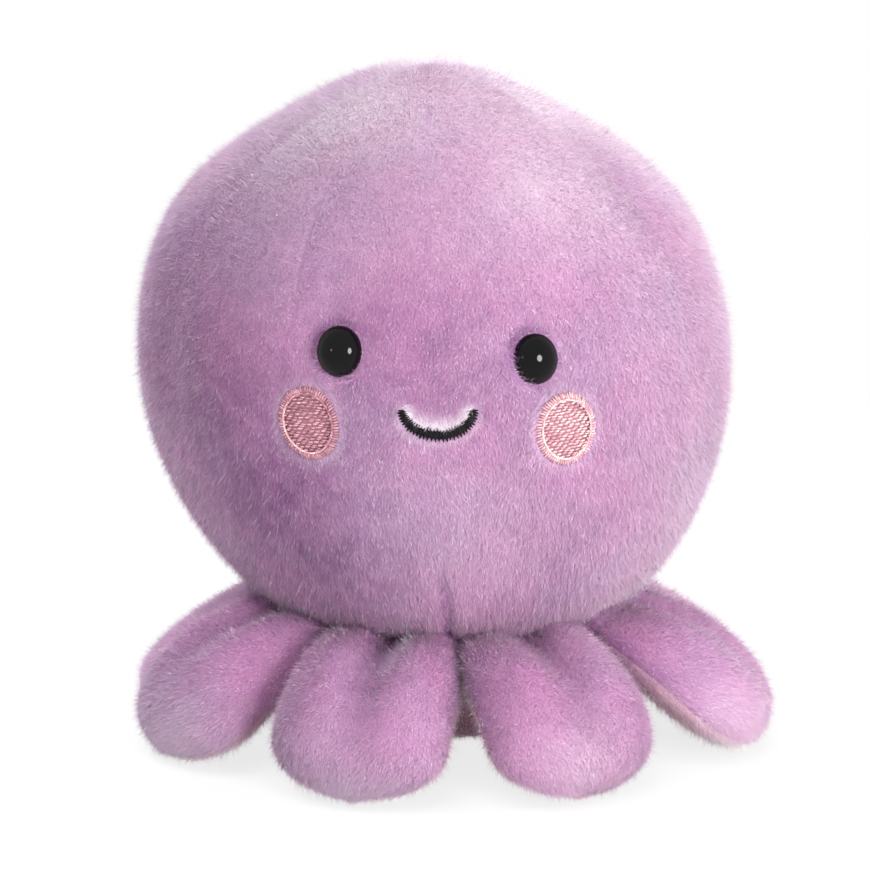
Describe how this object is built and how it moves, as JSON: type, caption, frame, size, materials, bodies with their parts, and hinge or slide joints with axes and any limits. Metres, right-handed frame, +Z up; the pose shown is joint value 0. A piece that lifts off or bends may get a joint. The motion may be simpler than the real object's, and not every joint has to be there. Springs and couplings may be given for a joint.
{
  "type": "plush octopus",
  "caption": "Palm-size stuffed octopus toy: a round plush head with eyes, cheeks and a stitched smile, on a ring of short drooping arms.",
  "frame": {"origin": "on the floor, at the middle of the body's flat foot, under the neck of the head", "axes": "+Z up, -Y the way that the face looks, +X towards the viewer's right when facing the toy"},
  "size_m": [0.1171, 0.1189, 0.123],
  "materials": {
    "lavender_plush": "soft lavender pile, about 3 mm, combed down",
    "pale_pink_plush": "pale pink pile",
    "fibre_filling": "white polyester fibre",
    "pouch_cotton": "plain woven cotton",
    "plastic_pellets": "translucent pellets",
    "eye_plastic": "polished black",
    "washer_plastic": "moulded, natural white",
    "blush_thread": "satin-stitched pink thread",
    "black_thread": "zig-zag satin stitch"
  },
  "bodies": {
    "head_and_body": {"head_face_panel": "lavender_plush", "head_side_panel_right": "lavender_plush", "head_back_panel_right": "lavender_plush", "head_back_panel_left": "lavender_plush", "head_side_panel_left": "lavender_plush", "eye_left": "eye_plastic", "eye_washer_left": "washer_plastic", "eye_right": "eye_plastic", "eye_washer_right": "washer_plastic", "cheek_left": "blush_thread", "cheek_right": "blush_thread", "smile": "black_thread", "head_filling": "fibre_filling", "base_panel": "pale_pink_plush", "pellet_pouch_top": "pouch_cotton", "pellet_pouch_bottom": "pouch_cotton", "pellets": "plastic_pellets"},
    "arm_1": {"arm_1_top_panel": "lavender_plush", "arm_1_underside_panel": "pale_pink_plush", "arm_1_filling": "fibre_filling"},
    "arm_2": {"arm_2_top_panel": "lavender_plush", "arm_2_underside_panel": "pale_pink_plush", "arm_2_filling": "fibre_filling"},
    "arm_3": {"arm_3_top_panel": "lavender_plush", "arm_3_underside_panel": "pale_pink_plush", "arm_3_filling": "fibre_filling"},
    "arm_4": {"arm_4_top_panel": "lavender_plush", "arm_4_underside_panel": "pale_pink_plush", "arm_4_filling": "fibre_filling"},
    "arm_5": {"arm_5_top_panel": "lavender_plush", "arm_5_underside_panel": "pale_pink_plush", "arm_5_filling": "fibre_filling"},
    "arm_6": {"arm_6_top_panel": "lavender_plush", "arm_6_underside_panel": "pale_pink_plush", "arm_6_filling": "fibre_filling"},
    "arm_7": {"arm_7_top_panel": "lavender_plush", "arm_7_underside_panel": "pale_pink_plush", "arm_7_filling": "fibre_filling"},
    "arm_8": {"arm_8_top_panel": "lavender_plush", "arm_8_underside_panel": "pale_pink_plush", "arm_8_filling": "fibre_filling"}
  },
  "joints": [
    {"name": "arm_1_lift", "type": "hinge", "parent": "head_and_body", "child": "arm_1", "pos_m": [0.01311, -0.03245, 0.0226], "axis": [-0.9272, -0.3746, 0], "range_deg": [-4, 28], "stiffness_Nm_per_rad": 0.02},
    {"name": "arm_2_lift", "type": "hinge", "parent": "head_and_body", "child": "arm_2", "pos_m": [0.03299, -0.01168, 0.0226], "axis": [-0.3338, -0.9426, 0], "range_deg": [-4, 28], "stiffness_Nm_per_rad": 0.02},
    {"name": "arm_3_lift", "type": "hinge", "parent": "head_and_body", "child": "arm_3", "pos_m": [0.03146, 0.01534, 0.0226], "axis": [0.4384, -0.8988, 0], "range_deg": [-4, 28], "stiffness_Nm_per_rad": 0.02},
    {"name": "arm_4_lift", "type": "hinge", "parent": "head_and_body", "child": "arm_4", "pos_m": [0.0114, 0.03309, 0.0226], "axis": [0.9455, -0.3256, 0], "range_deg": [-4, 28], "stiffness_Nm_per_rad": 0.02},
    {"name": "arm_5_lift", "type": "hinge", "parent": "head_and_body", "child": "arm_5", "pos_m": [-0.01534, 0.03146, 0.0226], "axis": [0.8988, 0.4384, 0], "range_deg": [-4, 28], "stiffness_Nm_per_rad": 0.02},
    {"name": "arm_6_lift", "type": "hinge", "parent": "head_and_body", "child": "arm_6", "pos_m": [-0.03319, 0.01111, 0.0226], "axis": [0.3173, 0.9483, 0], "range_deg": [-4, 28], "stiffness_Nm_per_rad": 0.02},
    {"name": "arm_7_lift", "type": "hinge", "parent": "head_and_body", "child": "arm_7", "pos_m": [-0.03104, -0.01616, 0.0226], "axis": [-0.4617, 0.887, 0], "range_deg": [-4, 28], "stiffness_Nm_per_rad": 0.02},
    {"name": "arm_8_lift", "type": "hinge", "parent": "head_and_body", "child": "arm_8", "pos_m": [-0.01052, -0.03338, 0.0226], "axis": [-0.9537, 0.3007, 0], "range_deg": [-4, 28], "stiffness_Nm_per_rad": 0.02}
  ]
}
